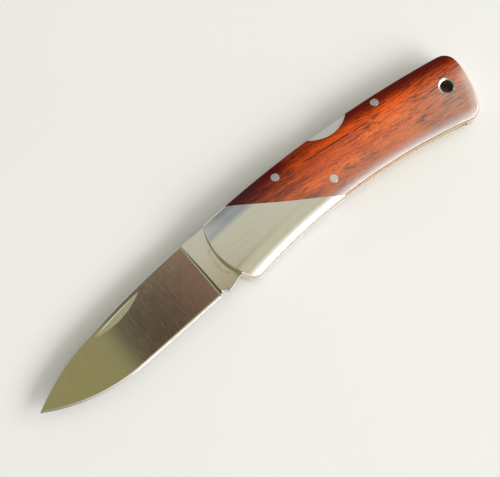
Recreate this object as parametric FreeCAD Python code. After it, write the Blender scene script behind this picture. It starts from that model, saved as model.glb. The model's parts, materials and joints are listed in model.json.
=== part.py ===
"""Lock-back folding knife, open and lying on its side.

Each piece is drawn around the blade pivot: +X runs to the butt, +Y to the spine, +Z up through
the front scale, z = 0 in the middle of the blade. At the end the whole knife is moved so that
the origin lies under the middle of its length and width, on the surface that it rests on.
"""
import FreeCAD, Part
import math
import os

V = FreeCAD.Vector
UP = V(0, 0, 1)

# Blade, millimetres from the pivot
BLADE_REACH = 78.0            # pivot to tip, along the blade
TIP_DROP = 1.1                # tip below the pivot line
BLADE_SPINE = 11.4            # spine above the pivot line, at the tang
POINT_LENGTH = 23.0           # last stretch of the spine, where it drops to the tip
POINT_SHOULDER = 6.9          # spine height where that stretch starts
PLUNGE_BACK = 14.2            # pivot to the plunge line where the grind starts
PLUNGE_RADIUS = 1.2           # hollow between the plunge line and the ground face
HEEL_BACK = 15.2              # pivot to the heel of the cutting edge
HEEL_DEPTH = 8.6              # heel below the pivot line
EDGE_CURVE_LENGTH = 32.0      # last stretch of the edge, where it curves up to the tip
EDGE_DEPTH = 9.75             # edge below the pivot line where that stretch starts
KICK_BACK = 12.25             # pivot to the kick
KICK_DEPTH = 9.25             # kick below the pivot line
RICASSO_RISE = 16.0           # degrees, underside of the ricasso behind the kick
CHOIL_RADIUS = 1.45
CHOIL_DROP = 0.35             # its centre below the line from heel to kick
BLADE_THICKNESS = 2.5
PLUNGE_STEP = 0.2             # step at the spine end of the plunge line
EDGE_THICKNESS = 0.45         # ground thickness behind the sharpened bevel
BEVEL_ANGLE = 20.0            # degrees, sharpened bevel on each side
EDGE_LAND = 0.06              # width of the sharpened edge itself
GRIND_OVERRUN = 2.5           # grind carried on past the tip

# Nail nick in the front of the blade
NICK_BACK = 44.2              # pivot to the middle of the nick
NICK_BELOW_SPINE = 1.5        # foot of the straight upper wall, below the spine
NICK_LENGTH = 19.0
NICK_WIDTH = 1.8              # gentle floor, from the wall's foot out to the surface
NICK_DEPTH = 0.16
NICK_WALL = 25.0              # degrees, rise of the upper wall

# Tang and lock
TANG_RADIUS = 7.9             # round part that runs under the lock bar
NOTCH_RADIUS = 6.9            # floor of the lock notch and of the closed recess
RECESS_END = 290.0            # degrees, where the recess for the closed position ends
LUG_FRONT = -0.6              # front face of the lock bar, from the pivot
LUG_LENGTH = 4.2
LUG_BLANK = 8.5               # lug below the spine, before it is cut to the tang's round
LUG_CLEARANCE = 0.12          # lifted lug over the tang
LUG_SIDE_PLAY = 0.15          # lug in the notch, behind it
SHOULDER_PLAY = 0.2           # lug in the notch, in front of it
FOLD_ANGLE = 171.0            # degrees from open to closed

# Handle outline
SPINE_RADIUS = 384.0
SPINE_CREST_X = 18.0
SPINE_CREST_Y = 12.0
BELLY_RADIUS = 200.0
BELLY_CREST_X = 27.5
BELLY_CREST_Y = -9.3
BUTT_REACH = 88.95            # pivot to the end of the butt
BUTT_RADIUS = 36.0
BUTT_CENTRE_Y = 2.9
BUTT_CORNER = 4.2
FRONT_REACH = 8.2             # pivot to the front of the bolster
FRONT_RADIUS = 19.5
FRONT_CENTRE_Y = 1.5
FRONT_BELLY_CORNER = 3.9
FRONT_SPINE_CORNER = 0.8

# Handle layers
WASHER_THICKNESS = 0.2
WASHER_RADIUS = 5.2
LINER_THICKNESS = 0.7
SCALE_THICKNESS = 2.6
CROWN_WIDTH = 7.0             # rounded zone along spine and belly
CROWN_RADIUS = 14.0
CROWN_RAISE = 0.002           # lets the rounded zone meet the flat at a slight angle
EDGE_ROUND = 0.9
JOINT_SPINE = 3.1             # pivot to the bolster's rear edge, at the spine
JOINT_BELLY = 33.9            # the same at the belly
JOINT_BOW = 0.7               # bow of that edge towards the front

# Thumb notch over the lock bar
THUMB_X = 43.5
THUMB_LENGTH = 15.2
THUMB_DEPTH = 3.3

# Lock bar, spring and spacer
BAR_REAR = 55.0               # pivot to the rear end of the lock bar
BAR_DEPTH = 3.3               # rear arm
NECK_DEPTH = 3.4              # front arm, above the closed kick
BOSS_RADIUS = 2.3
BAR_PLAY = 0.06               # lock bar beside each liner
BAR_GAP = 0.4                 # lock bar to spacer
BAR_STAND = 0.3               # degrees, rear arm raised over the spine while the lug is lifted
SPACER_CLEARANCE = 1.6        # spacer round the closed blade
SPRING_THICKNESS = 0.9
SPRING_HEIGHT = 4.65          # middle of the spring's root above the pivot line
SPRING_ROOT = 8.0             # length held in the spacer
SPRING_TIP_X = 44.0
SPRING_GAP = 0.08             # spring tip under the lock bar

# Pins and tube
PIVOT_RADIUS = 1.7
PIN_RADIUS = 1.3
RUNNING_FIT = 0.03            # radial, on pins that a piece turns on
PIVOT_COVER = 1.0             # bolster metal left over the pivot pin
LOCK_PIN = (20.6, 8.5)
SPACER_PIN = (60.0, 7.2)
SCALE_PIN = (34.0, -3.4)
RIVET_RADIUS = 0.9
RIVET_DEPTH = 1.2             # rivet into the bolster
RIVETS = ((1.5, 8.0), (13.0, -6.2))
LANYARD_INSET = 8.3           # lanyard hole to the end of the butt
LANYARD_DROP = 3.5            # lanyard hole below the pivot line
TUBE_RADIUS = 2.7
TUBE_BORE = 2.1
TUBE_SETBACK = 0.05           # tube ends below the scales
MOUTH_WIDTH = 0.55            # countersink of the tube's ends, radial
MOUTH_DEPTH = 0.35

HALF_BLADE = BLADE_THICKNESS / 2
HALF_CHANNEL = HALF_BLADE + WASHER_THICKNESS
LINER_TOP = HALF_CHANNEL + LINER_THICKNESS
HALF_HANDLE = LINER_TOP + SCALE_THICKNESS
HALF_BAR = HALF_CHANNEL - BAR_PLAY

SPINE_CENTRE = (SPINE_CREST_X, SPINE_CREST_Y - SPINE_RADIUS)
BELLY_CENTRE = (BELLY_CREST_X, BELLY_CREST_Y - BELLY_RADIUS)
BUTT_CENTRE = (BUTT_REACH - BUTT_RADIUS, BUTT_CENTRE_Y)
LANYARD = (BUTT_REACH - LANYARD_INSET, -LANYARD_DROP)
FRONT_CENTRE = (FRONT_RADIUS - FRONT_REACH, FRONT_CENTRE_Y)
TIP = (-BLADE_REACH, -TIP_DROP)
HEEL = (-HEEL_BACK, -HEEL_DEPTH)
KICK = (-KICK_BACK, -KICK_DEPTH)
SHOULDER_X = LUG_FRONT - SHOULDER_PLAY
FAR = 200.0                   # beyond every piece
NEAR = 1e-4                   # two points closer than this are one


def point(xy, z=0.0):
    return V(xy[0], xy[1], z)


def line(a, b):
    return Part.makeLine(point(a), point(b))


def turned(xy, degrees):
    """A point turned about the pivot."""
    c = math.cos(math.radians(degrees))
    s = math.sin(math.radians(degrees))
    return (c * xy[0] - s * xy[1], s * xy[0] + c * xy[1])


def arc_on(centre, a, b):
    """The short arc from a to b on the circle about centre."""
    radius = math.hypot(a[0] - centre[0], a[1] - centre[1])
    mx = (a[0] + b[0]) / 2 - centre[0]
    my = (a[1] + b[1]) / 2 - centre[1]
    scale = radius / math.hypot(mx, my)
    middle = (centre[0] + mx * scale, centre[1] + my * scale)
    return Part.Arc(point(a), point(middle), point(b)).toShape()


def tangent_circle(start, direction, end):
    """Centre of the circle that leaves start along direction and passes through end."""
    nx, ny = -direction[1], direction[0]
    cx, cy = end[0] - start[0], end[1] - start[1]
    signed = (cx * cx + cy * cy) / (2 * (cx * nx + cy * ny))
    return (start[0] + nx * signed, start[1] + ny * signed)


def heading_at(centre, end, direction):
    """Unit direction of travel at end, on a circle entered along direction."""
    rx, ry = end[0] - centre[0], end[1] - centre[1]
    size = math.hypot(rx, ry)
    tx, ty = -ry / size, rx / size
    if tx * direction[0] + ty * direction[1] < 0:
        tx, ty = -tx, -ty
    return (tx, ty)


def circles_meet(one, other, near):
    """The crossing of two circles that lies nearest to a point."""
    c1, r1 = one
    c2, r2 = other
    dx, dy = c2[0] - c1[0], c2[1] - c1[1]
    d = math.hypot(dx, dy)
    along = (d * d + r1 * r1 - r2 * r2) / (2 * d)
    aside = math.sqrt(r1 * r1 - along * along)
    mx, my = c1[0] + dx / d * along, c1[1] + dy / d * along
    sx, sy = dy / d * aside, dx / d * aside
    return min((mx - sx, my + sy), (mx + sx, my - sy), key=lambda p: math.dist(p, near))


def circle_top(circle, x):
    """Height of a circle's upper half at x."""
    centre, radius = circle
    return centre[1] + math.sqrt(radius ** 2 - (x - centre[0]) ** 2)


def spine_y(x, depth=0.0):
    """Height of the handle's spine at x, or of the curve a depth below it."""
    return circle_top((SPINE_CENTRE, SPINE_RADIUS - depth), x)


def belly_y(x):
    return circle_top((BELLY_CENTRE, BELLY_RADIUS), x)


def prism(edges, low, high):
    """A solid between two heights with the outline that the edges close."""
    wire = Part.Wire(Part.__sortEdges__(edges))
    face = Part.Face(wire)
    face.translate(V(0, 0, low))
    return face.extrude(V(0, 0, high - low))


def cylinder(xy, radius, low, high):
    return Part.makeCylinder(radius, high - low, point(xy, low), UP)


def box(x0, x1, y0, y1, low, high):
    return Part.makeBox(x1 - x0, y1 - y0, high - low, V(x0, y0, low))


def mirrored(shape):
    return shape.mirror(V(0, 0, 0), UP)


def solid_of(shape):
    """The one solid that a boolean result holds."""
    return shape.removeSplitter().Solids[0]


def round_uprights(shape, corners):
    """Rounds the upright edges that stand at the given corners."""
    for corner, radius in corners:
        for edge in shape.Edges:
            a, b = edge.Vertexes[0].Point, edge.Vertexes[-1].Point
            upright = math.dist((a.x, a.y), (b.x, b.y)) < NEAR
            if upright and math.dist((a.x, a.y), corner) < NEAR:
                shape = shape.makeFillet(radius, [edge])
                break
    return shape


# Handle outline, shared by scales, bolsters, liners and spacer

SPINE_CIRCLE = (SPINE_CENTRE, SPINE_RADIUS)
BELLY_CIRCLE = (BELLY_CENTRE, BELLY_RADIUS)
BUTT_CIRCLE = (BUTT_CENTRE, BUTT_RADIUS)
FRONT_CIRCLE = (FRONT_CENTRE, FRONT_RADIUS)
BUTT_SPINE = circles_meet(SPINE_CIRCLE, BUTT_CIRCLE, (BUTT_REACH, SPINE_CREST_Y))
BUTT_BELLY = circles_meet(BELLY_CIRCLE, BUTT_CIRCLE, (BUTT_REACH, BELLY_CREST_Y))
FRONT_SPINE = circles_meet(SPINE_CIRCLE, FRONT_CIRCLE, (-FRONT_REACH, SPINE_CREST_Y))
FRONT_BELLY = circles_meet(BELLY_CIRCLE, FRONT_CIRCLE, (-FRONT_REACH, BELLY_CREST_Y))


def handle_plate(low, high):
    """The whole handle outline as a plate between two heights."""
    edges = [
        arc_on(SPINE_CENTRE, FRONT_SPINE, BUTT_SPINE),
        arc_on(BUTT_CENTRE, BUTT_SPINE, BUTT_BELLY),
        arc_on(BELLY_CENTRE, BUTT_BELLY, FRONT_BELLY),
        arc_on(FRONT_CENTRE, FRONT_BELLY, FRONT_SPINE),
    ]
    corners = [(BUTT_SPINE, BUTT_CORNER), (BUTT_BELLY, BUTT_CORNER),
               (FRONT_BELLY, FRONT_BELLY_CORNER), (FRONT_SPINE, FRONT_SPINE_CORNER)]
    return round_uprights(prism(edges, low, high), corners)


def crown_cutter(centre, radius, inward):
    """Ring that rounds the top along a circular edge; inward is -1 where the handle is inside."""
    start = radius + inward * CROWN_WIDTH
    stop = radius - inward * EDGE_ROUND
    crest = HALF_HANDLE + CROWN_RAISE
    bottom = crest - CROWN_RADIUS + math.sqrt(CROWN_RADIUS ** 2 - (stop - start) ** 2)
    half = (start + stop) / 2
    middle = crest - CROWN_RADIUS + math.sqrt(CROWN_RADIUS ** 2 - (half - start) ** 2)
    over = crest + CROWN_RADIUS

    def at(r, z):
        return V(0, r, z)

    edges = [
        Part.Arc(at(start, crest), at(half, middle), at(stop, bottom)).toShape(),
        Part.makeLine(at(stop, bottom), at(stop, over)),
        Part.makeLine(at(stop, over), at(start, over)),
        Part.makeLine(at(start, over), at(start, crest)),
    ]
    face = Part.Face(Part.Wire(edges))
    ring = face.revolve(V(0, 0, 0), UP, 360)
    ring.translate(point(centre))
    return ring


def handle_side():
    """Front side of the handle above its liner, bolster and scale still in one piece."""
    lead = -FRONT_REACH - FRONT_RADIUS / 2
    front_top = (lead, spine_y(lead))
    front_bottom = (lead, belly_y(lead))
    edges = [
        arc_on(SPINE_CENTRE, front_top, BUTT_SPINE),
        arc_on(BUTT_CENTRE, BUTT_SPINE, BUTT_BELLY),
        arc_on(BELLY_CENTRE, BUTT_BELLY, front_bottom),
        line(front_bottom, front_top),
    ]
    block = prism(edges, LINER_TOP, HALF_HANDLE)
    block = round_uprights(block, [(BUTT_SPINE, BUTT_CORNER), (BUTT_BELLY, BUTT_CORNER)])
    block = block.cut(crown_cutter(SPINE_CENTRE, SPINE_RADIUS, -1))
    block = solid_of(block.cut(crown_cutter(BELLY_CENTRE, BELLY_RADIUS, 1)))
    rims = []
    for face in block.Faces:
        u0, u1, v0, v1 = face.ParameterRange
        normal = face.normalAt((u0 + u1) / 2, (v0 + v1) / 2)
        if abs(normal.z) > NEAR or face.CenterOfMass.x < lead + NEAR:
            continue
        for edge in face.Edges:
            a, b = edge.Vertexes[0].Point, edge.Vertexes[-1].Point
            upright = math.dist((a.x, a.y), (b.x, b.y)) < NEAR
            if min(a.z, b.z) > LINER_TOP + NEAR and not upright:
                rims.append(edge)
    block = block.makeFillet(EDGE_ROUND, rims)
    return solid_of(block.common(handle_plate(LINER_TOP, HALF_HANDLE)))


def bolster_zone(low, high):
    """Everything in front of the slanted joint between bolster and scale."""
    top = (JOINT_SPINE, spine_y(JOINT_SPINE))
    bottom = (JOINT_BELLY, belly_y(JOINT_BELLY))
    dx, dy = bottom[0] - top[0], bottom[1] - top[1]
    length = math.hypot(dx, dy)
    bow_x, bow_y = JOINT_BOW * dy / length, -JOINT_BOW * dx / length
    middle = ((top[0] + bottom[0]) / 2 + bow_x, (top[1] + bottom[1]) / 2 + bow_y)
    circle = Part.Arc(point(top), point(middle), point(bottom)).toShape().Curve
    centre, radius = circle.Center, circle.Radius
    reach = length / 4
    spread = (length / 2 + reach) / radius
    mid_angle = math.atan2(middle[1] - centre.y, middle[0] - centre.x)

    def at(angle):
        return (centre.x + radius * math.cos(angle), centre.y + radius * math.sin(angle))

    ends = sorted([at(mid_angle - spread), at(mid_angle + spread)], key=lambda p: p[0])
    edges = [
        Part.Arc(point(ends[0]), point(middle), point(ends[1])).toShape(),
        line(ends[1], (-FAR, ends[1][1])),
        line((-FAR, ends[1][1]), (-FAR, ends[0][1])),
        line((-FAR, ends[0][1]), ends[0]),
    ]
    return prism(edges, low, high)


def thumb_cutter():
    """Round cutter for the thumb notch, through the whole handle."""
    rear = THUMB_X + THUMB_LENGTH / 2
    front = THUMB_X - THUMB_LENGTH / 2
    slope = math.atan2(spine_y(rear) - spine_y(front), THUMB_LENGTH)
    radius = ((THUMB_LENGTH / 2) ** 2 + THUMB_DEPTH ** 2) / (2 * THUMB_DEPTH)
    lift = radius - THUMB_DEPTH
    chord_y = (spine_y(rear) + spine_y(front)) / 2
    centre = (THUMB_X - lift * math.sin(slope), chord_y + lift * math.cos(slope))
    return cylinder(centre, radius, -FAR, FAR)


# Blade


def grind_slope():
    """Rise of the ground face, per millimetre from the edge towards the spine."""
    rise = HALF_BLADE - PLUNGE_STEP - EDGE_THICKNESS / 2
    return rise / (BLADE_SPINE + HEEL_DEPTH)


def grind_cutter(edge_start, edge_centre):
    """Everything above the front's ground face: the edge's line and arc, swept up to the spine."""
    tip_angle = math.atan2(TIP[1] - edge_centre[1], TIP[0] - edge_centre[0])
    radius = math.hypot(TIP[0] - edge_centre[0], TIP[1] - edge_centre[1])
    end_angle = tip_angle - GRIND_OVERRUN / radius
    end = (edge_centre[0] + radius * math.cos(end_angle), edge_centre[1] + radius * math.sin(end_angle))
    fall = (HEEL[1] - edge_start[1]) / (HEEL[0] - edge_start[0])
    root = (-PLUNGE_BACK, HEEL[1] + fall * (-PLUNGE_BACK - HEEL[0]))
    wire = Part.Wire([line(root, edge_start), arc_on(edge_centre, edge_start, end)])
    below = EDGE_DEPTH
    wire.translate(V(0, -below, EDGE_THICKNESS / 2 - below * grind_slope()))
    span = 2 * (BLADE_SPINE + EDGE_DEPTH)
    face = wire.extrude(V(0, below + span, (below + span) * grind_slope()))
    block = face.extrude(V(0, 0, BLADE_THICKNESS))
    walls = [e for e in block.Edges if e.BoundBox.XMin > -PLUNGE_BACK - NEAR and e.BoundBox.YLength > span]
    foot = min(walls, key=lambda e: e.CenterOfMass.z)
    return block.makeFillet(PLUNGE_RADIUS, [foot])


def bevel_cutters(edge_start, edge_centre, edge_radius):
    """Wedges above the front's sharpened bevel: flat along the heel, conical along the curve."""
    slope = math.tan(math.radians(BEVEL_ANGLE))
    land = EDGE_LAND / 2
    width = BLADE_THICKNESS / slope

    def wedge(at):
        outer, inner = at(width, land - width * slope), at(-width, land + width * slope)
        top = at(width, land + width * slope)
        return Part.Face(Part.makePolygon([outer, inner, top, outer]))

    to_heel = point(HEEL) - point(edge_start)
    outward = V(to_heel.y, -to_heel.x, 0).normalize()
    flat = wedge(lambda out, z: point(edge_start) + outward * out + UP * z).extrude(to_heel)
    cone = wedge(lambda out, z: V(0, -(edge_radius + out), z)).revolve(V(0, 0, 0), UP, -180)
    start_angle = math.atan2(edge_start[1] - edge_centre[1], edge_start[0] - edge_centre[0])
    cone.rotate(V(0, 0, 0), UP, math.degrees(start_angle) + 90)
    cone.translate(point(edge_centre))
    return flat, cone


def nick_cutter(spine_point, spine_heading, edge_y):
    """Rim of a grinding wheel over the blade: a steep side for the upper wall, a gentle one for the floor."""
    along = V(spine_heading[0], spine_heading[1], 0)
    down = V(along.y, -along.x, 0)
    if down.y > 0:
        down = down * -1
    foot = point(spine_point) + down * NICK_BELOW_SPINE
    foot.z = EDGE_THICKNESS / 2 + grind_slope() * (foot.y - edge_y) - NICK_DEPTH
    wheel = (NICK_LENGTH / 2) ** 2 / (2 * NICK_DEPTH)
    wall = math.tan(math.radians(NICK_WALL))
    floor = NICK_DEPTH / NICK_WIDTH - grind_slope()
    high = 4 * NICK_DEPTH
    rim = [foot, foot - down * (high / wall) + UP * high, foot + down * (high / floor) + UP * high]
    face = Part.Face(Part.makePolygon(rim + rim[:1]))
    return face.revolve(foot + UP * wheel, down, 360)


def blade_outline():
    """Edges of the blade in front of the tang, and the circles of spine and edge."""
    root = (SHOULDER_X, BLADE_SPINE)
    point_start = (-BLADE_REACH + POINT_LENGTH, POINT_SHOULDER)
    spine_centre = tangent_circle(root, (-1, 0), point_start)
    drop_heading = heading_at(spine_centre, point_start, (-1, 0))
    drop_centre = tangent_circle(point_start, drop_heading, TIP)
    edge_start = (-BLADE_REACH + EDGE_CURVE_LENGTH, -EDGE_DEPTH)
    run = math.hypot(edge_start[0] - HEEL[0], edge_start[1] - HEEL[1])
    edge_heading = ((edge_start[0] - HEEL[0]) / run, (edge_start[1] - HEEL[1]) / run)
    edge_centre = tangent_circle(edge_start, edge_heading, TIP)
    rise = math.tan(math.radians(RICASSO_RISE))
    inner = (SHOULDER_X, KICK[1] + rise * (SHOULDER_X - KICK[0]))
    edges = [
        arc_on(spine_centre, root, point_start),
        arc_on(drop_centre, point_start, TIP),
        arc_on(edge_centre, TIP, edge_start),
        line(edge_start, HEEL),
        line(HEEL, KICK),
        line(KICK, inner),
        line(inner, root),
    ]
    return edges, spine_centre, edge_start, edge_centre


def tang_sector(low, high):
    """Larger round of the tang, from the closed recess round to the lock notch."""
    wall_x = LUG_FRONT + LUG_LENGTH + LUG_SIDE_PLAY
    tooth = (wall_x, math.sqrt(TANG_RADIUS ** 2 - wall_x ** 2))
    step = turned((TANG_RADIUS, 0), RECESS_END)
    inner = turned((TANG_RADIUS / 2, 0), RECESS_END)
    edges = [
        Part.Arc(point(step), point((TANG_RADIUS, 0)), point(tooth)).toShape(),
        line(tooth, (wall_x, 0)),
        line((wall_x, 0), inner),
        line(inner, step),
    ]
    return prism(edges, low, high)


def make_blade():
    edges, spine_centre, edge_start, edge_centre = blade_outline()
    body = prism(edges, -HALF_BLADE, HALF_BLADE)
    body = body.fuse(cylinder((0, 0), NOTCH_RADIUS, -HALF_BLADE, HALF_BLADE))
    body = solid_of(body.fuse(tang_sector(-HALF_BLADE, HALF_BLADE)))
    choil = ((HEEL[0] + KICK[0]) / 2, (HEEL[1] + KICK[1]) / 2 - CHOIL_DROP)
    body = body.cut(cylinder(choil, CHOIL_RADIUS, -FAR, FAR))
    body = body.cut(cylinder((0, 0), PIVOT_RADIUS + RUNNING_FIT, -FAR, FAR))
    edge_radius = math.hypot(TIP[0] - edge_centre[0], TIP[1] - edge_centre[1])
    cutters = (grind_cutter(edge_start, edge_centre),) + bevel_cutters(edge_start, edge_centre, edge_radius)
    for cutter in cutters:
        body = body.cut(cutter)
        body = body.cut(mirrored(cutter))
    spine_radius = math.hypot(SHOULDER_X - spine_centre[0], BLADE_SPINE - spine_centre[1])
    nick_top = (-NICK_BACK, circle_top((spine_centre, spine_radius), -NICK_BACK))
    nick_heading = heading_at(spine_centre, nick_top, (-1, 0))
    return solid_of(body.cut(nick_cutter(nick_top, nick_heading, edge_start[1])))


# Lock bar, spring and spacer


def make_lock_bar():
    """Rocker along the spine, drawn flush, then turned to where its lug is lifted off the tang."""
    def strip(x0, x1, depth):
        low0, low1 = (x0, spine_y(x0, depth)), (x1, spine_y(x1, depth))
        top0, top1 = (x0, spine_y(x0)), (x1, spine_y(x1))
        edges = [arc_on(SPINE_CENTRE, top0, top1), line(top1, low1),
                 arc_on(SPINE_CENTRE, low1, low0), line(low0, top0)]
        return prism(edges, -HALF_BAR, HALF_BAR)

    bar = strip(LUG_FRONT, BAR_REAR, BAR_DEPTH)
    bar = bar.fuse(strip(LUG_FRONT, LOCK_PIN[0], NECK_DEPTH))
    bar = bar.fuse(strip(LUG_FRONT, LUG_FRONT + LUG_LENGTH, LUG_BLANK))
    bar = solid_of(bar.fuse(cylinder(LOCK_PIN, BOSS_RADIUS, -HALF_BAR, HALF_BAR)))
    bar = bar.cut(cylinder(LOCK_PIN, PIN_RADIUS + RUNNING_FIT, -FAR, FAR))
    bar.rotate(point(LOCK_PIN), UP, BAR_STAND)
    return solid_of(bar.cut(cylinder((0, 0), TANG_RADIUS + LUG_CLEARANCE, -FAR, FAR)))


def spring_tip():
    """Where the spring's upper side meets the underside of the lock bar at rest."""
    turn = math.radians(BAR_STAND)
    dx, dy = SPRING_TIP_X - LOCK_PIN[0], spine_y(SPRING_TIP_X, BAR_DEPTH) - LOCK_PIN[1]
    return (LOCK_PIN[0] + dx * math.cos(turn) - dy * math.sin(turn),
            LOCK_PIN[1] + dx * math.sin(turn) + dy * math.cos(turn) - SPRING_GAP)


def make_lock_spring():
    """Leaf held flat in the spacer, bowed up to the rear arm of the lock bar."""
    face_x = BAR_REAR + BAR_GAP
    half = SPRING_THICKNESS / 2
    root_end = face_x + SPRING_ROOT
    tip_top = spring_tip()
    upper_start = (face_x, SPRING_HEIGHT + half)
    lower_start = (face_x, SPRING_HEIGHT - half)
    centre = tangent_circle(upper_start, (-1, 0), tip_top)
    radius = math.hypot(tip_top[0] - centre[0], tip_top[1] - centre[1])
    grow = (radius + SPRING_THICKNESS) / radius
    tip_low = (centre[0] + (tip_top[0] - centre[0]) * grow, centre[1] + (tip_top[1] - centre[1]) * grow)
    edges = [
        line((root_end, SPRING_HEIGHT + half), upper_start),
        arc_on(centre, upper_start, tip_top),
        line(tip_top, tip_low),
        arc_on(centre, tip_low, lower_start),
        line(lower_start, (root_end, SPRING_HEIGHT - half)),
        line((root_end, SPRING_HEIGHT - half), (root_end, SPRING_HEIGHT + half)),
    ]
    return prism(edges, -HALF_BAR, HALF_BAR)


def make_back_spacer():
    edge_centre = blade_outline()[3]
    edge_radius = math.hypot(TIP[0] - edge_centre[0], TIP[1] - edge_centre[1])
    closed_centre = turned(edge_centre, FOLD_ANGLE)
    closed_tip = turned(TIP, FOLD_ANGLE)
    face_x = BAR_REAR + BAR_GAP
    plate = handle_plate(-HALF_CHANNEL, HALF_CHANNEL)
    plate = plate.common(box(face_x, FAR, -FAR, FAR, -FAR, FAR))
    pocket = cylinder(closed_centre, edge_radius + SPACER_CLEARANCE, -FAR, FAR)
    pocket = pocket.common(box(-FAR, closed_tip[0] + SPACER_CLEARANCE, -FAR, FAR, -FAR, FAR))
    plate = plate.cut(pocket)
    half = SPRING_THICKNESS / 2
    low, high = SPRING_HEIGHT - half, SPRING_HEIGHT + half
    plate = plate.cut(box(face_x, face_x + SPRING_ROOT, low, high, -FAR, FAR))
    plate = plate.cut(cylinder(SPACER_PIN, PIN_RADIUS, -FAR, FAR))
    return solid_of(plate.cut(cylinder(LANYARD, TUBE_RADIUS, -FAR, FAR)))


# Liners, bolsters and scales


def drilled(shape, holes):
    for xy, radius, low, high in holes:
        shape = shape.cut(cylinder(xy, radius, low, high))
    return shape


def make_front_liner():
    plate = handle_plate(HALF_CHANNEL, LINER_TOP)
    holes = [((0, 0), PIVOT_RADIUS), (LOCK_PIN, PIN_RADIUS), (SPACER_PIN, PIN_RADIUS),
             (SCALE_PIN, PIN_RADIUS), (LANYARD, TUBE_RADIUS)]
    holes += [(xy, RIVET_RADIUS) for xy in RIVETS]
    plate = drilled(plate, [(xy, radius, -FAR, FAR) for xy, radius in holes])
    return solid_of(plate.cut(thumb_cutter()))


def make_front_bolster(side):
    bolster = side.common(bolster_zone(-FAR, FAR))
    holes = [((0, 0), PIVOT_RADIUS, LINER_TOP, HALF_HANDLE - PIVOT_COVER)]
    holes += [(xy, RIVET_RADIUS, LINER_TOP, LINER_TOP + RIVET_DEPTH) for xy in RIVETS]
    return solid_of(drilled(bolster, holes))


def make_front_scale(side):
    scale = side.cut(bolster_zone(-FAR, FAR))
    holes = [(xy, PIN_RADIUS, -FAR, FAR) for xy in (LOCK_PIN, SPACER_PIN, SCALE_PIN)]
    holes.append((LANYARD, TUBE_RADIUS, -FAR, FAR))
    scale = drilled(scale, holes)
    return solid_of(scale.cut(thumb_cutter()))


# Pins, rivets, washers and tube


def flush_pin(side, xy, radius):
    """Pin through the whole handle, its ends ground flush with both sides."""
    head = cylinder(xy, radius, LINER_TOP, FAR).common(side)
    shank = cylinder(xy, radius, -LINER_TOP, LINER_TOP)
    return solid_of(shank.fuse(head).fuse(mirrored(head)))


def make_front_scale_pin(side):
    head = cylinder(SCALE_PIN, PIN_RADIUS, LINER_TOP, FAR).common(side)
    return solid_of(cylinder(SCALE_PIN, PIN_RADIUS, HALF_CHANNEL, LINER_TOP).fuse(head))


def make_front_rivets():
    top = LINER_TOP + RIVET_DEPTH
    return Part.makeCompound([cylinder(xy, RIVET_RADIUS, HALF_CHANNEL, top) for xy in RIVETS])


def make_front_washer():
    ring = cylinder((0, 0), WASHER_RADIUS, HALF_BLADE, HALF_CHANNEL)
    return ring.cut(cylinder((0, 0), PIVOT_RADIUS, -FAR, FAR))


def make_lanyard_tube():
    end = HALF_HANDLE - TUBE_SETBACK
    tube = cylinder(LANYARD, TUBE_RADIUS, -end, end).cut(cylinder(LANYARD, TUBE_BORE, -FAR, FAR))
    mouth = Part.makeCone(TUBE_BORE, TUBE_BORE + MOUTH_WIDTH, MOUTH_DEPTH, point(LANYARD, end - MOUTH_DEPTH), UP)
    return solid_of(tube.cut(mouth).cut(mirrored(mouth)))


def make_nodes():
    side = handle_side()
    pivot_end = HALF_HANDLE - PIVOT_COVER
    nodes = {
        "blade": make_blade(),
        "lock_bar": make_lock_bar(),
        "lock_spring": make_lock_spring(),
        "back_spacer": make_back_spacer(),
        "pivot_pin": cylinder((0, 0), PIVOT_RADIUS, -pivot_end, pivot_end),
        "lock_pivot_pin": flush_pin(side, LOCK_PIN, PIN_RADIUS),
        "spacer_pin": flush_pin(side, SPACER_PIN, PIN_RADIUS),
        "lanyard_tube": make_lanyard_tube(),
    }
    paired = {
        "liner": make_front_liner(),
        "bolster": make_front_bolster(side),
        "scale": make_front_scale(side),
        "scale_pin": make_front_scale_pin(side),
        "bolster_rivets": make_front_rivets(),
        "washer": make_front_washer(),
    }
    for name, shape in paired.items():
        nodes["front_" + name] = shape
        nodes["rear_" + name] = mirrored(shape)
    return nodes


def main():
    os.makedirs("parts", exist_ok=True)
    nodes = make_nodes()
    whole = Part.makeCompound(list(nodes.values())).optimalBoundingBox(False)
    middle = V((whole.XMin + whole.XMax) / 2, (whole.YMin + whole.YMax) / 2, -HALF_HANDLE)
    for name, shape in nodes.items():
        shape.translate(middle * -1)
        shape.exportStep("parts/" + name + ".step")
        print(name, len(shape.Solids), shape.isValid(), round(shape.Volume, 2))
    for name, xy in (("pivot", (0, 0)), ("lock_pin", LOCK_PIN), ("lanyard", LANYARD)):
        place = point(xy) - middle
        print(name, round(place.x, 4), round(place.y, 4), round(place.z, 4))


main()
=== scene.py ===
"""Looks of the lock-back folding knife: a finish for every piece, the studio and the camera.

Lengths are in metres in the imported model's frame: +X runs to the butt, +Y to the spine, +Z up.
Textures are laid out in millimetres.
"""
import json
import math
from collections import namedtuple

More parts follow.
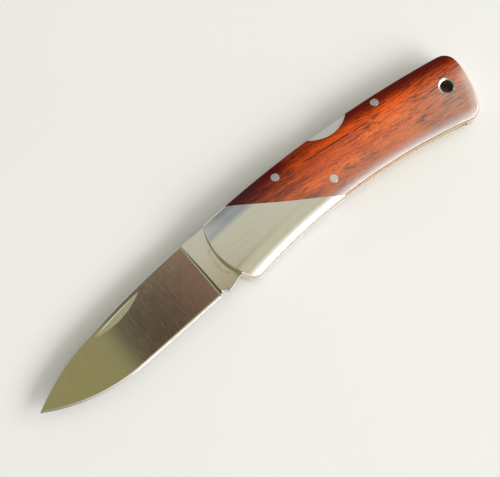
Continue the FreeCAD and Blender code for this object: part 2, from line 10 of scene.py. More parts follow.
import bpy
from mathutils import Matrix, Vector


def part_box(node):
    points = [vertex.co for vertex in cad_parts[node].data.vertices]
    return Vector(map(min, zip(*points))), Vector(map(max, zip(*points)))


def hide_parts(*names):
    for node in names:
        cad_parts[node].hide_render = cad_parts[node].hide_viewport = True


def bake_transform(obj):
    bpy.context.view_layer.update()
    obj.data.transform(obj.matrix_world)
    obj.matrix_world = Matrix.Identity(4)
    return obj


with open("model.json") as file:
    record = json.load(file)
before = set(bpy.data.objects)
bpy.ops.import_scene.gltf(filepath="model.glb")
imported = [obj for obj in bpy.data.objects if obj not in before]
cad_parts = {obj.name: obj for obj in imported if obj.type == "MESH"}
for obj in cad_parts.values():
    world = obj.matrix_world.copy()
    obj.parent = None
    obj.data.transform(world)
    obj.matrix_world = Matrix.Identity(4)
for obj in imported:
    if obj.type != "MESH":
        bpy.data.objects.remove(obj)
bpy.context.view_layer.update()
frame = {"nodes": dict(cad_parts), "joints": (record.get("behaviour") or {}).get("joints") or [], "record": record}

MM = 0.001
PER_METRE = 1000.0

# Places on the knife, read from the frame
JOINTS = {joint["name"]: joint for joint in frame["joints"]}
PIVOT = Vector(JOINTS["blade_fold"]["pos_m"])


def middle_of(node):
    low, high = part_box(node)
    return (low + high) / 2


def in_mm(place):
    return tuple(place * PER_METRE)


def rgb(red, green, blue):
    return (red, green, blue, 1.0)


def grey(level):
    return rgb(level, level, level)


class Nodes:
    """Short forms for the nodes of one material or world."""

    def __init__(self, tree):
        self.tree = tree
        tree.nodes.clear()

    def put(self, socket, value):
        if isinstance(value, bpy.types.NodeSocket):
            self.tree.links.new(value, socket)
        else:
            socket.default_value = value

    def add(self, kind, inputs=None, **settings):
        node = self.tree.nodes.new("ShaderNode" + kind)
        for key, value in settings.items():
            setattr(node, key, value)
        for key, value in (inputs or {}).items():
            self.put(node.inputs[key], value)
        return node

    def math(self, operation, a, b=0.0, clamp=False):
        return self.add("Math", {0: a, 1: b}, operation=operation, use_clamp=clamp).outputs[0]

    def times(self, first, *others):
        product = first
        for other in others:
            product = self.math("MULTIPLY", product, other)
        return product

    def apart(self, a, b):
        """How far two values are apart, whichever is larger."""
        return self.math("ABSOLUTE", self.math("SUBTRACT", a, b))

    def vector(self, operation, a, b=(0.0, 0.0, 0.0)):
        node = self.add("VectorMath", {0: a, 1: b}, operation=operation)
        return node.outputs["Value" if operation in ("DISTANCE", "DOT_PRODUCT", "LENGTH") else "Vector"]

    def axes(self, vector):
        return self.add("SeparateXYZ", {0: vector}).outputs

    def fade(self, value, start, stop, low=0.0, high=1.0):
        """Runs smoothly from low to high while value goes from start to stop."""
        inputs = {"Value": value, "From Min": start, "From Max": stop, "To Min": low, "To Max": high}
        return self.add("MapRange", inputs, interpolation_type="SMOOTHSTEP").outputs["Result"]

    def mix(self, factor, a, b, blend="MIX"):
        node = self.add("Mix", data_type="RGBA", blend_type=blend)
        for socket, value in zip((node.inputs[0], node.inputs[6], node.inputs[7]), (factor, a, b)):
            self.put(socket, value)
        return node.outputs[2]

    def noise(self, vector, scale=1.0, detail=2.0, roughness=0.5):
        inputs = {"Vector": vector, "Scale": scale, "Detail": detail, "Roughness": roughness}
        return self.add("TexNoise", inputs).outputs["Fac"]

    def stretched(self, vector, scale):
        """The vector with each axis scaled by itself."""
        return self.vector("MULTIPLY", vector, scale)

    def millimetres(self):
        place = self.add("TexCoord").outputs["Object"]
        return self.vector("MULTIPLY", place, (PER_METRE,) * 3)

    def flatness(self):
        """1 where a piece faces straight up or down, 0 on its side walls."""
        return self.math("ABSOLUTE", self.axes(self.add("TexCoord").outputs["Normal"])["Z"])


def new_material(name):
    material = bpy.data.materials.new(name)
    material.use_nodes = True
    return material, Nodes(material.node_tree)


def finish_surface(n, inputs, bump=None, bump_height=0.0, normal=None):
    """Principled surface with an optional bump of the given height in millimetres."""
    inputs = dict(inputs)
    if bump is not None:
        relief = {"Height": bump, "Strength": 1.0, "Distance": bump_height * MM}
        if normal is not None:
            relief["Normal"] = normal
        normal = n.add("Bump", relief).outputs["Normal"]
    if normal is not None:
        inputs["Normal"] = normal
    shader = n.add("BsdfPrincipled", inputs)
    n.add("OutputMaterial", {"Surface": shader.outputs["BSDF"]})


def broken_edges(n, radius):
    """Shading normal of edges eased by a radius in millimetres, and how close to an edge a point lies."""
    eased = n.add("Bevel", {"Radius": radius * MM}, samples=6).outputs["Normal"]
    straight = n.add("NewGeometry").outputs["Normal"]
    return eased, n.fade(n.vector("DOT_PRODUCT", eased, straight), 0.995, 0.8)


def crevices(n, reach):
    """How much of the sky other surfaces within reach, in millimetres, take from a point: the mask for painted
    shade in crevices.
    """
    light = n.add("AmbientOcclusion", {"Distance": reach * MM}, samples=6).outputs["AO"]
    return n.fade(light, 0.8, 0.45)


def hairlines(n, place, along, fine, drawn_out):
    """Fine parallel scratches: along is 0 for X or 1 for Y, fine and drawn_out are per millimetre."""
    scale = [fine, fine, fine]
    scale[along] = drawn_out
    return n.noise(n.stretched(place, tuple(scale)), detail=3.0, roughness=0.65)


def world_direction(n, x, y, z):
    """A direction fixed to the piece, as the shader wants it."""
    way = n.add("CombineXYZ", {"X": x, "Y": y, "Z": z}).outputs[0]
    turned = n.add("VectorTransform", {"Vector": way}, vector_type="VECTOR", convert_from="OBJECT",
                   convert_to="WORLD")
    return turned.outputs[0]


def from_axis(n, place, centre):
    """Distance in millimetres from an upright axis."""
    flat = Vector((1, 1, 0))
    return n.vector("DISTANCE", n.stretched(place, tuple(flat)), in_mm(centre * flat))


# Metals: each one's colour in its scratches, between them and where it is worn
BLADE_LOW = rgb(0.60, 0.59, 0.56)
BLADE_HIGH = rgb(0.67, 0.66, 0.63)
BLADE_WORN = rgb(0.85, 0.84, 0.81)
BLADE_RUBBED = rgb(0.40, 0.38, 0.30)
BOLSTER_LOW = rgb(0.62, 0.61, 0.57)
BOLSTER_HIGH = rgb(0.69, 0.68, 0.65)
BOLSTER_WORN = rgb(0.82, 0.81, 0.78)
BOLSTER_WALL = rgb(0.95, 0.95, 0.94)
STEEL_LOW = rgb(0.52, 0.52, 0.51)
STEEL_HIGH = rgb(0.64, 0.64, 0.63)
STEEL_WORN = rgb(0.78, 0.78, 0.76)
BLUED_LOW = rgb(0.30, 0.31, 0.35)
BLUED_HIGH = rgb(0.42, 0.43, 0.46)
PIN_LOW = rgb(0.62, 0.60, 0.55)
PIN_HIGH = rgb(0.74, 0.72, 0.68)
PIN_WORN = rgb(0.88, 0.87, 0.84)
# Painted shade deep inside the lanyard tube's bore
BORE_PAINTED_SHADE = rgb(0.36, 0.25, 0.21)
BRASS_BRIGHT = rgb(0.94, 0.87, 0.70)
BRASS_DULL = rgb(0.84, 0.73, 0.52)
BRONZE_BRIGHT = rgb(0.72, 0.48, 0.27)
BRONZE_DULL = rgb(0.50, 0.32, 0.17)
# Pale colour painted on as a highlight beside the bolster
BRASS_PAINTED_HIGHLIGHT = rgb(0.92, 0.91, 0.89)
# Dark colour painted into crevices and between parts as shade
CREVICE_PAINTED_SHADE = rgb(0.07, 0.055, 0.035)

# Metals: radius of the eased edges and height of the scratches, in millimetres
BLADE_EDGE = 0.28
BLADE_SCRATCH = 0.00014
BOLSTER_EDGE = 0.15
BOLSTER_SCRATCH = 0.0004
STEEL_EDGE = 0.12
STEEL_SCRATCH = 0.0006
PIN_EDGE = 0.14
PIN_SCRATCH = 0.001
BRASS_EDGE = 0.1
BRASS_SCRATCH = 0.0006

# Ring that the bolsters have rubbed on the blade, in millimetres from the pivot: start and full strength
RUB_INSIDE = 9.2, 9.9
RUB_OUTSIDE = 10.9, 10.2
# Part of the lanyard tube's bore that gets painted shade, in millimetres from its axis and from the middle of its
# length
BORE_WALL = 2.25, 2.12
BORE_DEPTH = 4.0, 1.0
# Part of the liners painted pale as a highlight beside the bolster, in millimetres along X from the pivot
HIGHLIGHT_BACK_SPAN = 50.0, 22.0
HIGHLIGHT_FRONT_SPAN = -7.0, 2.0


def blade_steel():
    """Satin steel ground across the blade, with a rubbed arc round the pivot and a few fine marks."""
    material, n = new_material("blade_steel")
    place = n.millimetres()
    eased, wear = broken_edges(n, BLADE_EDGE)
    lines = hairlines(n, place, along=1, fine=7.0, drawn_out=0.1)
    stain = n.noise(place, 0.35, detail=4.0, roughness=0.6)
    colour = n.mix(n.fade(lines, 0.25, 0.75), BLADE_LOW, BLADE_HIGH)
    arc = from_axis(n, place, PIVOT)
    rub = n.times(n.fade(arc, *RUB_INSIDE), n.fade(arc, *RUB_OUTSIDE), n.fade(stain, 0.4, 0.65))
    colour = n.mix(n.times(rub, 0.5), colour, BLADE_RUBBED)
    # Painted shade in crevices and between parts
    colour = n.mix(n.times(crevices(n, reach=0.7), 0.85), colour, CREVICE_PAINTED_SHADE)
    dots = n.add("TexVoronoi", {"Vector": place, "Scale": 0.16, "Randomness": 1.0}).outputs["Distance"]
    specks = n.fade(dots, 0.03, 0.018)
    colour = n.mix(n.math("MAXIMUM", specks, n.times(wear, 0.3)), colour, BLADE_WORN)
    rough = n.math("ADD", n.fade(lines, 0.3, 0.8, 0.08, 0.13), n.times(specks, 0.3))
    rough = n.math("ADD", rough, n.fade(stain, 0.55, 0.75, 0.0, 0.02))
    surface = {"Base Color": colour, "Metallic": 1.0, "Roughness": rough, "Anisotropic": 0.4,
               "Tangent": world_direction(n, 0.0, 1.0, 0.0)}
    finish_surface(n, surface, lines, BLADE_SCRATCH, eased)
    return material


def bolster_steel():
    """Fine satin steel drawn along the handle, brighter on its walls and on edges polished by hands."""
    material, n = new_material("bolster_steel")
    place = n.millimetres()
    eased, wear = broken_edges(n, BOLSTER_EDGE)
    lines = hairlines(n, place, along=0, fine=7.0, drawn_out=0.15)
    clouds = n.noise(place, 0.18, detail=4.0)
    colour = n.mix(n.fade(lines, 0.25, 0.75), BOLSTER_LOW, BOLSTER_HIGH)
    colour = n.mix(n.times(wear, 0.6), colour, BOLSTER_WORN)
    colour = n.mix(n.fade(n.flatness(), 0.85, 0.6), colour, BOLSTER_WALL)
    # Painted shade in crevices and between parts
    colour = n.mix(n.times(crevices(n, reach=2.0), 0.9), colour, CREVICE_PAINTED_SHADE)
    rough = n.math("ADD", n.fade(lines, 0.3, 0.8, 0.10, 0.14), n.fade(clouds, 0.35, 0.7, 0.0, 0.04))
    surface = {"Base Color": colour, "Metallic": 1.0, "Roughness": rough, "Anisotropic": 0.3,
               "Tangent": world_direction(n, 1.0, 0.0, 0.0)}
    finish_surface(n, surface, lines, BOLSTER_SCRATCH, eased)
    return material


def satin_steel(name, low, high, roughness):
    """Plain satin steel with lengthwise scratches and lighter edges."""
    material, n = new_material(name)
    place = n.millimetres()
    eased, wear = broken_edges(n, STEEL_EDGE)
    lines = hairlines(n, place, along=0, fine=8.0, drawn_out=0.2)
    clouds = n.noise(place, 0.3, detail=3.0)
    colour = n.mix(lines, low, high)
    colour = n.mix(n.times(wear, 0.6), colour, STEEL_WORN)
    rough = n.fade(lines, 0.3, 0.8, roughness, roughness + 0.1)
    rough = n.math("ADD", rough, n.fade(clouds, 0.3, 0.7, 0.0, 0.06))
    surface = {"Base Color": colour, "Metallic": 1.0, "Roughness": rough}
    finish_surface(n, surface, lines, STEEL_SCRATCH, eased)
    return material


def pin_steel():
    """Nickel-silver pins, filed flush, and the lanyard tube with painted shade deep in its bore."""
    material, n = new_material("pin_steel")
    place = n.millimetres()
    eased, wear = broken_edges(n, PIN_EDGE)
    scratches = n.noise(n.stretched(place, (5.0, 1.2, 1.2)), detail=3.0)
    clouds = n.noise(place, 1.4, detail=3.0)
    colour = n.mix(clouds, PIN_LOW, PIN_HIGH)
    colour = n.mix(n.times(wear, 0.7), colour, PIN_WORN)
    tube = middle_of("lanyard_tube")
    wall = n.fade(from_axis(n, place, tube), *BORE_WALL)
    height = n.axes(n.vector("SUBTRACT", place, in_mm(tube)))["Z"]
    bore = n.times(wall, n.fade(n.math("ABSOLUTE", height), *BORE_DEPTH))
    # Painted shade deep inside the bore
    colour = n.mix(n.times(bore, 0.9), colour, BORE_PAINTED_SHADE)
    rough = n.math("ADD", n.fade(scratches, 0.3, 0.75, 0.14, 0.3), n.times(bore, 0.3))
    surface = {"Base Color": colour, "Metallic": 1.0, "Roughness": rough}
    finish_surface(n, surface, scratches, PIN_SCRATCH, eased)
    return material


def brass(name, bright, dull, roughness):
    """Yellow metal with tarnish in clouds and bright edges, and a painted highlight beside the bolster."""
    material, n = new_material(name)
    place = n.millimetres()
    eased, wear = broken_edges(n, BRASS_EDGE)
    lines = hairlines(n, place, along=0, fine=6.0, drawn_out=0.3)
    tarnish = n.fade(n.noise(place, 0.22, detail=5.0, roughness=0.6), 0.4, 0.7)
    colour = n.mix(n.math("SUBTRACT", tarnish, wear, clamp=True), bright, dull)
    along = n.axes(n.vector("SUBTRACT", place, in_mm(PIVOT)))["X"]
    # Painted highlight, paler beside the bolster
    painted_highlight = n.times(n.fade(along, *HIGHLIGHT_BACK_SPAN, 0.0, 0.8), n.fade(along, *HIGHLIGHT_FRONT_SPAN))
    colour = n.mix(painted_highlight, colour, BRASS_PAINTED_HIGHLIGHT)
    rough = n.fade(lines, 0.3, 0.8, roughness, roughness + 0.1)
    rough = n.math("ADD", rough, n.times(tarnish, 0.12))
    surface = {"Base Color": colour, "Metallic": 1.0, "Roughness": rough}
    finish_surface(n, surface, lines, BRASS_SCRATCH, eased)
    return material


# Wood: outline of the handle as arcs in the plan, each with its centre and its radius in millimetres
SPINE_CENTRE = PIVOT + Vector((18.0, -372.0, 0.0)) * MM
SPINE_RADIUS = 384.0
BELLY_CENTRE = PIVOT + Vector((27.5, -209.3, 0.0)) * MM
BELLY_RADIUS = 200.0
BUTT_CENTRE = PIVOT + Vector((52.95, 2.9, 0.0)) * MM
BUTT_RADIUS = 36.0
BUTT_CORNER = 4.2

# Wood: the grain runs along the handle, slightly downhill towards the butt.
# Places are in millimetres from the pivot, along the grain or across it towards the spine.
GRAIN_TURN = math.radians(-7.0)
LONG_LINE = 10.1              # dark line in the figure, across the grain
LONG_LINE_ENDS = 28.0, 60.0   # along the grain
LINE_SHADE = 1.3              # the shade beside that line is centred this far below it
PALE_SPINE = 31.0             # where the painted shade on the spine is weakest, in front of the thumb notch

# Wood: where a shade starts and where it is full, along the grain
LINE_SHADE_BACK = 52.0, 40.0
DUSKY_FRONT = 42.0, 11.0
# Painted shade near the spine at the butt
BUTT_SPINE_SHADE_SPAN = 66.0, 82.0
DARK_TIP = 21.0, 7.0
# Painted sheen towards the butt, and where it turns paler
SHEEN_SPAN = 52.0, 84.0
SHEEN_PALER = 68.0, 80.0
# Painted highlight on the rim, paler towards the butt
HIGHLIGHT_PALER = 76.0, 84.0
ROUNDED_BUTT = 84.0, 86.0
BUTT_OUTLINE = 60.0, 70.0

# Wood: colours
ORANGE = rgb(0.84, 0.165, 0.018)
RED = rgb(0.60, 0.085, 0.008)
FIBRE = rgb(0.30, 0.030, 0.005)
GREY_STROKE = rgb(0.15, 0.05, 0.03)
DARK_STROKE = rgb(0.045, 0.016, 0.010)
PORE = rgb(0.03, 0.010, 0.007)
DARK_LINE = rgb(0.03, 0.012, 0.010)
BESIDE_LINE = rgb(0.10, 0.020, 0.015)
FRONT_DUSK = rgb(0.06, 0.030, 0.034)
# Painted shade near the spine at the butt
BUTT_SPINE_PAINTED_SHADE = rgb(0.10, 0.030, 0.025)
# Painted shade on the spine side: a deeper red tint and a near-black
SPINE_SHADE_TINT = rgb(1.0, 0.66, 0.45)
SPINE_PAINTED_SHADE = rgb(0.09, 0.004, 0.002)
TIP_DUSK = rgb(0.04, 0.02, 0.026)
# Painted sheen along the belly and at the butt, greying the red
BELLY_SHEEN_PAINT = rgb(0.15, 0.14, 0.12)
BUTT_SHEEN_PAINT = rgb(0.34, 0.29, 0.26)
BELLY_GREY_SHEEN_PAINT = rgb(0.08, 0.11, 0.09)
# Painted highlight on the rim of belly and butt
BELLY_HIGHLIGHT_PAINT = rgb(0.30, 0.28, 0.26)
BUTT_HIGHLIGHT_PAINT = rgb(0.62, 0.52, 0.47)
SEAM = rgb(0.03, 0.009, 0.006)

# Wood: radius of the eased edges and of the butt's rim in shading, and depth of the pores, in millimetres
WOOD_EDGE = 0.16
BUTT_EASE = 2.0
PORE_DEPTH = 0.004


def strokes(n, grain, long, thin, start, stop):
    """Short strokes along the grain: long and thin are per millimetre, along and across it."""
    return n.fade(n.noise(n.stretched(grain, (long, thin, thin)), detail=1.5), start, stop)


def belly_rim(n, place, to_belly, along):
    """Distance in millimetres from the handle's outline at belly and butt, up to the corner's radius."""
    to_butt = n.math("SUBTRACT", BUTT_RADIUS, from_axis(n, place, BUTT_CENTRE))
    past_belly = n.math("MAXIMUM", n.math("SUBTRACT", BUTT_CORNER, to_belly), 0.0)
    past_butt = n.math("MAXIMUM", n.math("SUBTRACT", BUTT_CORNER, to_butt), 0.0)
    past_butt = n.times(past_butt, n.fade(along, *BUTT_OUTLINE))
    past = n.add("CombineXYZ", {"X": past_belly, "Y": past_butt}).outputs[0]
    return n.math("SUBTRACT", BUTT_CORNER, n.vector("LENGTH", past))


def swaying_grain(n, straight):
    """The straight grain with a slow sway across it."""
    sway = n.noise(n.stretched(straight, (0.035, 0.1, 0.1)))
    shift = n.add("CombineXYZ", {"Y": n.fade(sway, 0.2, 0.8, -0.6, 0.6)}).outputs[0]
    return n.vector("ADD", straight, shift)


def wood_ground(n, grain, fibres):
    """Orange-red figure with fine dark fibres."""
    figure = n.noise(n.stretched(grain, (0.02, 0.25, 0.25)), detail=3.0)
    colour = n.mix(n.fade(figure, 0.35, 0.65), ORANGE, RED)
    return n.mix(n.fade(fibres, 0.45, 0.8), colour, FIBRE)


def draw_strokes(n, colour, grain, along):
    """Grey and dark strokes, denser in drifts and at both ends, and open pores.

    Also returns how much of a point the dark strokes take, and the pores.
    """
    drifts = n.noise(n.stretched(grain, (0.045, 0.25, 0.25)))
    drifts = n.math("ADD", drifts, n.fade(along, 42.0, 22.0, -0.03, 0.08))
    drifts = n.math("ADD", drifts, n.fade(along, 58.0, 72.0, 0.0, 0.05))
    pale = n.times(strokes(n, grain, 0.13, 2.3, 0.49, 0.6), n.fade(drifts, 0.42, 0.58))
    colour = n.mix(n.times(pale, 0.7), colour, GREY_STROKE)
    crowd = n.fade(drifts, 0.38, 0.58, 0.2, 1.0)
    dashes = n.times(strokes(n, grain, 0.24, 3.1, 0.55, 0.63), crowd)
    colour = n.mix(n.times(dashes, 0.9), colour, DARK_STROKE)
    pores = strokes(n, grain, 0.7, 4.5, 0.6, 0.68)
    colour = n.mix(n.times(pores, 0.7), colour, PORE)
    return colour, dashes, pores


def draw_long_line(n, colour, straight, along, across):
    """One long broken line in the figure, with a soft shade below it."""
    gaps = n.fade(n.noise(n.stretched(straight, (0.3, 0.1, 0.1))), 0.36, 0.48)
    first, last = LONG_LINE_ENDS
    span = n.times(n.fade(along, first, first + 3.0), n.fade(along, last, last - 6.0))
    line = n.times(n.fade(n.apart(across, LONG_LINE), 0.3, 0.08), gaps, span)
    colour = n.mix(n.times(line, 0.9), colour, DARK_LINE)
    off_shade = n.apart(across, LONG_LINE - LINE_SHADE)
    shade = n.times(n.fade(off_shade, 1.9, 0.4), n.fade(along, *LINE_SHADE_BACK))
    return n.mix(n.times(shade, 0.32), colour, BESIDE_LINE)


def darken_ends(n, colour, fibres, along, across):
    """Dusky towards the bolster, and painted shade near the spine at the butt."""
    front = n.times(n.fade(along, *DUSKY_FRONT), n.fade(fibres, 0.3, 0.65, 0.26, 0.62))
    colour = n.mix(front, colour, FRONT_DUSK)
    # Painted shade near the spine at the butt
    back = n.times(n.fade(along, *BUTT_SPINE_SHADE_SPAN), n.fade(across, 7.0, 11.0))
    return n.mix(n.times(back, 0.3), colour, BUTT_SPINE_PAINTED_SHADE)


def darken_spine(n, colour, to_spine, along):
    """Painted shade on the spine side: deeper red towards the spine and nearly black at its edge. Also darker at
    the front tip.
    """
    tint = n.fade(to_spine, SPINE_RADIUS - 11.0, SPINE_RADIUS - 4.0)
    colour = n.mix(tint, colour, SPINE_SHADE_TINT, "MULTIPLY")
    spine_shade = n.fade(to_spine, SPINE_RADIUS - 5.9, SPINE_RADIUS - 1.4)
    spine_shade = n.times(spine_shade, n.fade(n.apart(along, PALE_SPINE), 3.0, 10.0, 0.5, 0.94))
    colour = n.mix(spine_shade, colour, SPINE_PAINTED_SHADE)
    return n.mix(n.fade(along, *DARK_TIP, 0.0, 0.55), colour, TIP_DUSK)


def paint_belly_sheen(n, colour, to_belly, to_rim, along, across):
    """Painted sheen, greyish along the belly and at the butt, and a painted highlight pale on the rim."""
    # Painted sheen: greyish towards the butt and greyer just above the belly
    painted_sheen = n.times(n.fade(along, *SHEEN_SPAN), n.fade(across, 12.0, 5.0))
    sheen_tone = n.mix(n.fade(along, *SHEEN_PALER), BELLY_SHEEN_PAINT, BUTT_SHEEN_PAINT)
    colour = n.mix(n.times(painted_sheen, 0.42), colour, sheen_tone)
    colour = n.mix(n.fade(to_belly, 9.0, 4.0, 0.0, 0.32), colour, BELLY_GREY_SHEEN_PAINT)
    # Painted highlight, pale on the rim of belly and butt
    rim = n.times(n.fade(to_rim, BUTT_CORNER, 0.4), n.fade(across, 12.0, 4.0))
    rim = n.times(rim, n.fade(n.flatness(), 0.35, 0.75))
    worn = n.mix(n.fade(along, *HIGHLIGHT_PALER), BELLY_HIGHLIGHT_PAINT, BUTT_HIGHLIGHT_PAINT)
    return n.mix(n.times(rim, 0.7), colour, worn)


def scale_wood():
    """Oiled rosewood: orange-red ground, grey-brown strokes, open pores, with painted shade towards the spine,
    painted sheen along belly and butt and a painted highlight on their rim.
    """
    material, n = new_material("scale_wood")
    place = n.millimetres()
    eased, seam = broken_edges(n, WOOD_EDGE)
    from_pivot = n.vector("SUBTRACT", place, in_mm(PIVOT))
    straight = n.add("Mapping", {"Vector": from_pivot, "Rotation": (0.0, 0.0, -GRAIN_TURN)}).outputs[0]
    along, across, _ = n.axes(straight)
    to_spine = from_axis(n, place, SPINE_CENTRE)
    to_belly = n.math("SUBTRACT", from_axis(n, place, BELLY_CENTRE), BELLY_RADIUS)
    to_rim = belly_rim(n, place, to_belly, along)
    grain = swaying_grain(n, straight)
    fibres = n.noise(n.stretched(grain, (0.15, 3.5, 3.5)), detail=3.0, roughness=0.6)

    colour = wood_ground(n, grain, fibres)
    colour, dashes, pores = draw_strokes(n, colour, grain, along)
    colour = draw_long_line(n, colour, straight, along, across)
    colour = darken_ends(n, colour, fibres, along, across)
    colour = darken_spine(n, colour, to_spine, along)
    colour = paint_belly_sheen(n, colour, to_belly, to_rim, along, across)
    colour = n.mix(n.times(seam, 0.7), colour, SEAM)

    polish = n.fade(to_spine, SPINE_RADIUS - 16.0, SPINE_RADIUS - 3.0, 1.0, 0.04)
    polish = n.times(polish, n.fade(along, 10.0, 40.0, 0.4, 1.0), n.fade(to_rim, 2.6, 0.5, 0.68, 1.0))
    rough = n.math("ADD", n.fade(fibres, 0.3, 0.7, 0.38, 0.48), n.times(pores, 0.2))
    hollows = n.math("MAXIMUM", pores, n.times(dashes, 0.5))
    butt_round = n.add("Bevel", {"Radius": BUTT_EASE * MM}, samples=8).outputs["Normal"]
    lacquer = n.mix(n.fade(along, *ROUNDED_BUTT), eased, butt_round)
    surface = {"Base Color": colour, "Roughness": rough, "Specular IOR Level": 0.05, "Coat Weight": polish,
               "Coat Roughness": 0.25, "Coat IOR": 2.0, "Coat Normal": lacquer}
    finish_surface(n, surface, n.math("SUBTRACT", 1.0, hollows), PORE_DEPTH, eased)
    return material


def dress_pieces():
    """Gives every CAD piece its finish by the record's material slot."""
    finishes = {
        "blade_steel": blade_steel(),
        "bolster_steel": bolster_steel(),
        "satin_steel": satin_steel("satin_steel", STEEL_LOW, STEEL_HIGH, roughness=0.24),
        "spring_steel": satin_steel("spring_steel", BLUED_LOW, BLUED_HIGH, roughness=0.3),
        "pin_steel": pin_steel(),
        "brass": brass("brass", BRASS_BRIGHT, BRASS_DULL, roughness=0.45),
        "bronze": brass("bronze", BRONZE_BRIGHT, BRONZE_DULL, roughness=0.3),
        "scale_wood": scale_wood(),
    }
    for subpart in frame["record"]["subparts"]:
        piece = frame["nodes"][subpart["node"]]
        piece.data.materials.clear()
        piece.data.materials.append(finishes[subpart["material_slot"]])


def bend_spring():
    """Stands for the leaf spring with a copy of its mesh, and hides the original."""
    spring = frame["nodes"]["lock_spring"]
    leaf = bpy.data.objects.new("lock_leaf", spring.data.copy())
    bpy.context.scene.collection.objects.link(leaf)
    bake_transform(leaf)
    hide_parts("lock_spring")


# Floor: half its width and its height in metres, and its two tones
FLOOR_HALF = 3.0
FLOOR_HEIGHT = -0.0002
FLOOR_LOW = rgb(0.78, 0.78, 0.77)
FLOOR_HIGH = rgb(0.82, 0.82, 0.81)


def add_floor():
    low, high = -FLOOR_HALF, FLOOR_HALF
    plan = [(low, low), (high, low), (high, high), (low, high)]
    mesh = bpy.data.meshes.new("floor")
    mesh.from_pydata([(x, y, FLOOR_HEIGHT) for x, y in plan], [], [(0, 1, 2, 3)])
    floor = bpy.data.objects.new("floor", mesh)
    bpy.context.scene.collection.objects.link(floor)
    material, n = new_material("pale_floor")
    clouds = n.noise(n.millimetres(), 0.01, detail=3.0)
    colour = n.mix(clouds, FLOOR_LOW, FLOOR_HIGH)
    finish_surface(n, {"Base Color": colour, "Roughness": 0.9, "Specular IOR Level": 0.0})
    mesh.materials.append(material)


# Dome, as steel and lacquer see it: a warm ceiling and a cooler far side, each with two tones
BACKDROP = rgb(0.76, 0.76, 0.73)
FAR_SIDE = rgb(0.39, 0.43, 0.44)
FAR_SIDE_LOW = rgb(0.20, 0.21, 0.21)
CEILING = rgb(0.76, 0.715, 0.52)
CEILING_FAR = rgb(0.79, 0.78, 0.66)

# Patches on the dome, each over those before it: the colour, then the edges that bound it.
# An edge is an axis of the direction looked in, where the patch starts along it and where it is full.
PATCHES = [
    # Belly side, low down
    (grey(0.45), [("Y", -0.4, -0.6)]),
    (grey(1.4), [("Y", -0.8, -0.88), ("X", -0.2, 0.0)]),
    # Belly side, beside the window
    (rgb(1.25, 1.15, 1.08),
     [("Y", -0.28, -0.36), ("Y", -0.72, -0.64), ("X", 0.125, 0.10), ("X", -0.35, -0.1)]),
    (rgb(2.0, 2.0, 1.95), [("Y", -0.38, -0.68), ("X", 0.11, 0.13), ("X", 0.4, 0.25)]),
    # Pale card on the far side
    (rgb(0.9, 0.9, 0.88), [("Y", 0.46, 0.56), ("X", 0.10, 0.08), ("X", -0.2, -0.1)]),
    # Butt side, high up and then low down
    (grey(0.95), [("X", 0.18, 0.36), ("X", 0.7, 0.5), ("Y", 0.45, 0.3), ("Y", -0.4, -0.2)]),
    (grey(0.40), [("X", 0.6, 0.8)]),
    (grey(0.95), [("X", 0.6, 0.8), ("Y", 0.5, 0.3)]),
    # Straw-coloured strip overhead
    (rgb(0.70, 0.63, 0.40), [("X", 0.155, 0.115), ("X", 0.04, 0.08), ("Y", 0.205, 0.175)]),
    # Tip side, high up and then low down
    (rgb(0.42, 0.41, 0.36), [("X", -0.25, -0.4)]),
    (rgb(0.13, 0.12, 0.07), [("X", -0.72, -0.85)]),
    # Olive overhead towards the tip, and paler beyond it
    (rgb(0.40, 0.36, 0.155),
     [("X", 0.03, -0.01), ("X", -0.35, -0.25), ("Y", 0.22, 0.17), ("Y", -0.15, -0.05)]),
    (rgb(0.52, 0.49, 0.31),
     [("X", 0.09, 0.05), ("X", -0.25, -0.15), ("Y", 0.2, 0.23), ("Y", 0.42, 0.36)]),
]

# Dark flag overhead, over the patches: its edges, and its two tones from tip side to butt side
FLAG_EDGES = [("X", -0.002, 0.014), ("X", 0.15, 0.13), ("Y", 0.175, 0.14), ("Y", -0.05, -0.03)]
FLAG_DARK = rgb(0.105, 0.07, 0.045)
FLAG_WARM = rgb(0.27, 0.145, 0.10)


def add_world():
    """Soft dome with its patches and the flag. The camera itself sees a plain backdrop."""
    world = bpy.data.worlds.new("studio")
    world.use_nodes = True
    bpy.context.scene.world = world
    n = Nodes(world.node_tree)
    axes = n.axes(n.add("TexCoord").outputs["Generated"])
    x, y = axes["X"], axes["Y"]

    def patch(colour, edges, paint):
        fades = [n.fade(axes[axis], start, stop) for axis, start, stop in edges]
        return n.mix(n.times(*fades), colour, paint)

    far_side = n.mix(n.fade(y, 0.72, 0.95), FAR_SIDE, FAR_SIDE_LOW)
    ceiling = n.mix(n.fade(y, 0.13, 0.23), CEILING, CEILING_FAR)
    colour = n.mix(n.fade(y, 0.58, 0.25), far_side, ceiling)
    for paint, edges in PATCHES:
        colour = patch(colour, edges, paint)
    colour = patch(colour, FLAG_EDGES, n.mix(n.fade(x, 0.05, 0.11), FLAG_DARK, FLAG_WARM))

    light = n.add("Background", {"Color": colour, "Strength": 1.0}).outputs[0]
    backdrop = n.add("Background", {"Color": BACKDROP, "Strength": 1.0}).outputs[0]
    seen = n.add("LightPath").outputs["Is Camera Ray"]
    shown = n.add("MixShader", {0: seen, 1: light, 2: backdrop}).outputs[0]
    n.add("OutputWorld", {"Surface": shown})


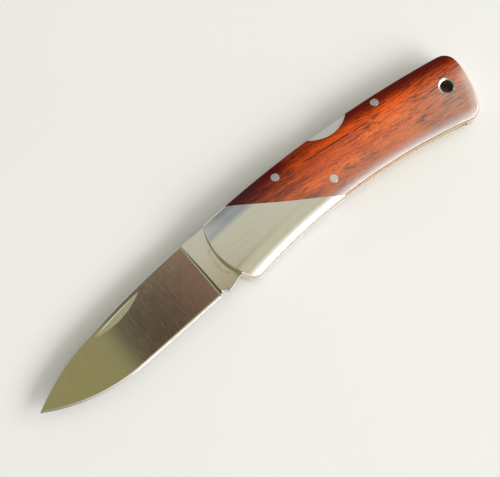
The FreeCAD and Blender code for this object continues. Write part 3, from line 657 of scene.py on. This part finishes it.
# Lamps: a wide window on the belly side and a smaller pane round the corner, towards the butt.
# Bearing and tilt are in degrees, distance, width and height in metres and power in watts.
Lamp = namedtuple("Lamp", "bearing tilt distance width height power")
LAMPS = {
    "window": Lamp(bearing=-66.0, tilt=33.0, distance=2.4, width=1.95, height=1.05, power=41.0),
    "pane": Lamp(bearing=-27.0, tilt=27.0, distance=2.4, width=1.35, height=0.9, power=13.5),
}


def add_lamps():
    for name, lamp in LAMPS.items():
        turn, tilt = math.radians(lamp.bearing), math.radians(lamp.tilt)
        way = Vector((math.cos(turn) * math.cos(tilt), math.sin(turn) * math.cos(tilt), math.sin(tilt)))
        light = bpy.data.lights.new(name, "AREA")
        light.shape = "RECTANGLE"
        light.size, light.size_y = lamp.width, lamp.height
        light.energy = lamp.power
        holder = bpy.data.objects.new(name, light)
        holder.location = way * lamp.distance
        holder.rotation_mode = "QUATERNION"
        holder.rotation_quaternion = way.to_track_quat("Z", "Y")
        bpy.context.scene.collection.objects.link(holder)


# Camera: where it stands, in degrees and metres, what it looks at, and its lens and film in millimetres
VIEW_AZIMUTH = -40.205
VIEW_ELEVATION = 76.0
VIEW_DISTANCE = 0.335
VIEW_TARGET = Vector((-2.407, 1.7765, 4.75)) * MM
LENS = 79.18
SENSOR = 36.0
NEAREST = 0.01
FARTHEST = 20.0


def add_camera():
    turn, tilt = math.radians(VIEW_AZIMUTH), math.radians(VIEW_ELEVATION)
    back = Vector((math.sin(turn) * math.cos(tilt), -math.cos(turn) * math.cos(tilt), math.sin(tilt)))
    data = bpy.data.cameras.new("camera")
    data.lens = LENS
    data.sensor_width = SENSOR
    data.clip_start, data.clip_end = NEAREST, FARTHEST
    camera = bpy.data.objects.new("camera", data)
    camera.location = VIEW_TARGET + back * VIEW_DISTANCE
    camera.rotation_mode = "QUATERNION"
    camera.rotation_quaternion = (-back).to_track_quat("-Z", "Y")
    bpy.context.scene.collection.objects.link(camera)
    bpy.context.scene.camera = camera


dress_pieces()
bend_spring()
add_floor()
add_world()
add_lamps()
add_camera()
bpy.context.scene.view_settings.view_transform = "Standard"
